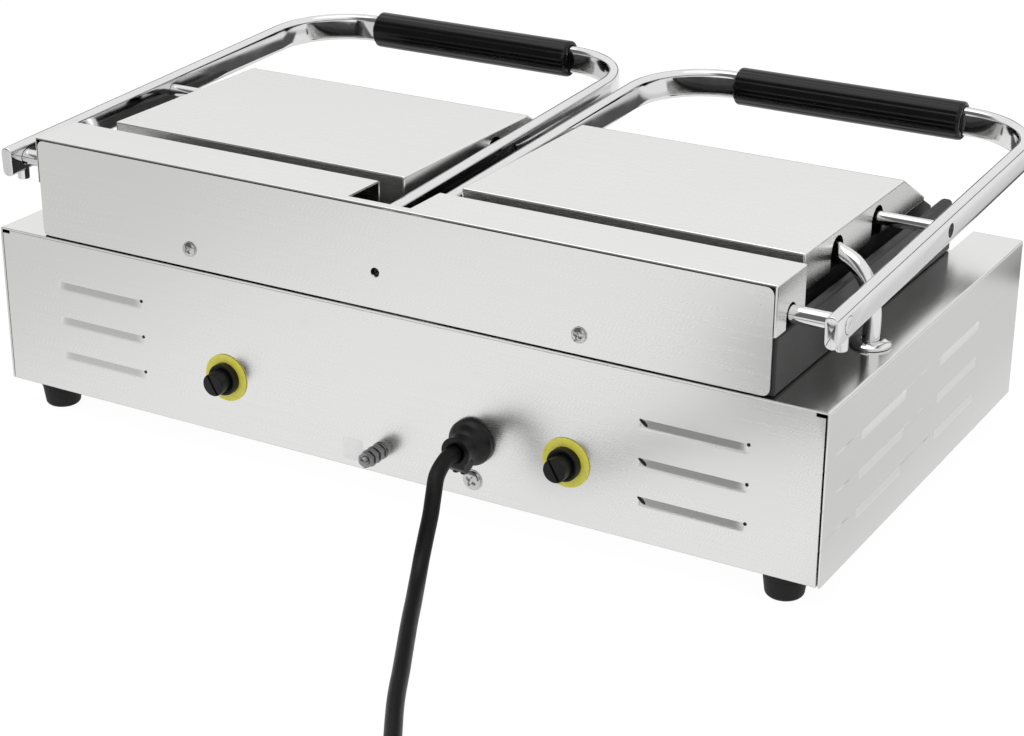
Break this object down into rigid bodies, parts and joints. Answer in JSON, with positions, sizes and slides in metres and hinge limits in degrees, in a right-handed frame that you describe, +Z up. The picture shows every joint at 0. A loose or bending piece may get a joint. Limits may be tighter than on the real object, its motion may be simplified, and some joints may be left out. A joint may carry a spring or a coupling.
{
  "type": "double contact grill",
  "caption": "Countertop contact grill with a ribbed cast griddle, hinged upper plates under sheet covers, U-shaped handles, rear hinge housing, knobs, drip tray and mains cord.",
  "frame": {"origin": "centre of the plan outline of the grill without its cord, on the surface the feet stand on", "axes": "+X towards the operator's right, +Y towards the rear, where the cord leaves, +Z up"},
  "size_m": [0.5896, 0.757, 0.1919],
  "materials": {
    "brushed_sheet": "satin stainless sheet with a fine brushed grain",
    "plain_sheet": "plain mill-finish sheet",
    "foot_rubber": "black moulded rubber",
    "cast_plate": "dark matt enamelled casting, ribbed cooking face",
    "element_sheath": "dull heat-darkened tube",
    "black_plastic": "black heat-resistant moulding",
    "grip_plastic": "black fluted heat-resistant moulding",
    "lamp_lens": "orange translucent lens",
    "ceramic_body": "off-white ceramic-like moulding",
    "yellow_disc": "plain yellow indicator ring",
    "cord_rubber": "black flexible sheath",
    "stud_metal": "dull plated brass",
    "screw_steel": "bright zinc-plated steel",
    "bright_rod": "polished bright steel",
    "spring_steel": "plain spring wire"
  },
  "bodies": {
    "base": {"body_wrapper": "brushed_sheet", "rear_panel": "brushed_sheet", "front_panel": "brushed_sheet", "bottom_plate": "plain_sheet", "foot_front_left": "foot_rubber", "foot_front_right": "foot_rubber", "foot_rear_left": "foot_rubber", "foot_rear_right": "foot_rubber", "griddle_plate": "cast_plate", "left_lower_element": "element_sheath", "right_lower_element": "element_sheath", "left_thermostat": "black_plastic", "right_thermostat": "black_plastic", "left_heating_lamp": "lamp_lens", "right_heating_lamp": "lamp_lens", "left_safety_cutout": "ceramic_body", "right_safety_cutout": "ceramic_body", "left_reset_disc": "yellow_disc", "right_reset_disc": "yellow_disc", "left_reset_nut": "black_plastic", "right_reset_nut": "black_plastic", "terminal_block": "ceramic_body", "cable_gland": "black_plastic", "mains_cord": "cord_rubber", "mains_cord_coil": "cord_rubber", "plug": "black_plastic", "earth_stud": "stud_metal", "hinge_housing": "brushed_sheet", "housing_cover": "brushed_sheet", "left_cover_screw": "screw_steel", "right_cover_screw": "screw_steel", "clamp_screw": "screw_steel", "left_bearing_bracket": "plain_sheet", "right_bearing_bracket": "plain_sheet", "left_lid_spring": "spring_steel", "right_lid_spring": "spring_steel", "left_conduit": "bright_rod", "right_conduit": "bright_rod", "left_conduit_collar": "bright_rod", "right_conduit_collar": "bright_rod"},
    "left_arm": {"left_hinge_shaft": "bright_rod", "left_handle_frame": "bright_rod", "left_grip": "grip_plastic", "left_pivot_rod": "bright_rod"},
    "right_arm": {"right_hinge_shaft": "bright_rod", "right_handle_frame": "bright_rod", "right_grip": "grip_plastic", "right_pivot_rod": "bright_rod"},
    "left_lid": {"left_lid_cover": "brushed_sheet", "left_lid_plate": "cast_plate", "left_lid_element": "element_sheath"},
    "right_lid": {"right_lid_cover": "brushed_sheet", "right_lid_plate": "cast_plate", "right_lid_element": "element_sheath"},
    "left_dial": {"left_knob": "black_plastic"},
    "right_dial": {"right_knob": "black_plastic"},
    "left_reset": {"left_reset_cap": "black_plastic"},
    "right_reset": {"right_reset_cap": "black_plastic"},
    "tray": {"drip_tray": "brushed_sheet"}
  },
  "joints": [
    {"name": "left_lid_hinge", "type": "hinge", "parent": "base", "child": "left_arm", "pos_m": [-0.01025, 0.15264, 0.1646], "axis": [-1, 0, 0], "range_deg": [0, 65], "deforming": ["left_lid_spring", "left_conduit"]},
    {"name": "right_lid_hinge", "type": "hinge", "parent": "base", "child": "right_arm", "pos_m": [0.01025, 0.15264, 0.1646], "axis": [-1, 0, 0], "range_deg": [0, 65], "deforming": ["right_lid_spring", "right_conduit"]},
    {"name": "left_plate_tilt", "type": "hinge", "parent": "left_arm", "child": "left_lid", "pos_m": [-0.02, 0.00214, 0.171], "axis": [-1, 0, 0], "range_deg": [-8.2, 0]},
    {"name": "right_plate_tilt", "type": "hinge", "parent": "right_arm", "child": "right_lid", "pos_m": [0.02, 0.00214, 0.171], "axis": [-1, 0, 0], "range_deg": [-8.2, 0]},
    {"name": "left_dial_turn", "type": "hinge", "parent": "base", "child": "left_dial", "pos_m": [-0.15, -0.13826, 0.051], "axis": [0, 1, 0], "range_deg": [0, 270]},
    {"name": "right_dial_turn", "type": "hinge", "parent": "base", "child": "right_dial", "pos_m": [0.15, -0.13826, 0.051], "axis": [0, 1, 0], "range_deg": [0, 270]},
    {"name": "left_reset_press", "type": "slide", "parent": "base", "child": "left_reset", "axis": [0, -1, 0], "range_m": [0, 0.0025], "stiffness_N_per_m": 400, "springref_m": -0.004},
    {"name": "right_reset_press", "type": "slide", "parent": "base", "child": "right_reset", "axis": [0, -1, 0], "range_m": [0, 0.0025], "stiffness_N_per_m": 400, "springref_m": -0.004},
    {"name": "tray_slide", "type": "slide", "parent": "base", "child": "tray", "axis": [0, -1, 0], "range_m": [0, 0.045]}
  ],
  "couplings": [
    {"joint": "left_plate_tilt", "follows": "left_lid_hinge", "ratio": -0.125},
    {"joint": "right_plate_tilt", "follows": "right_lid_hinge", "ratio": -0.125}
  ]
}
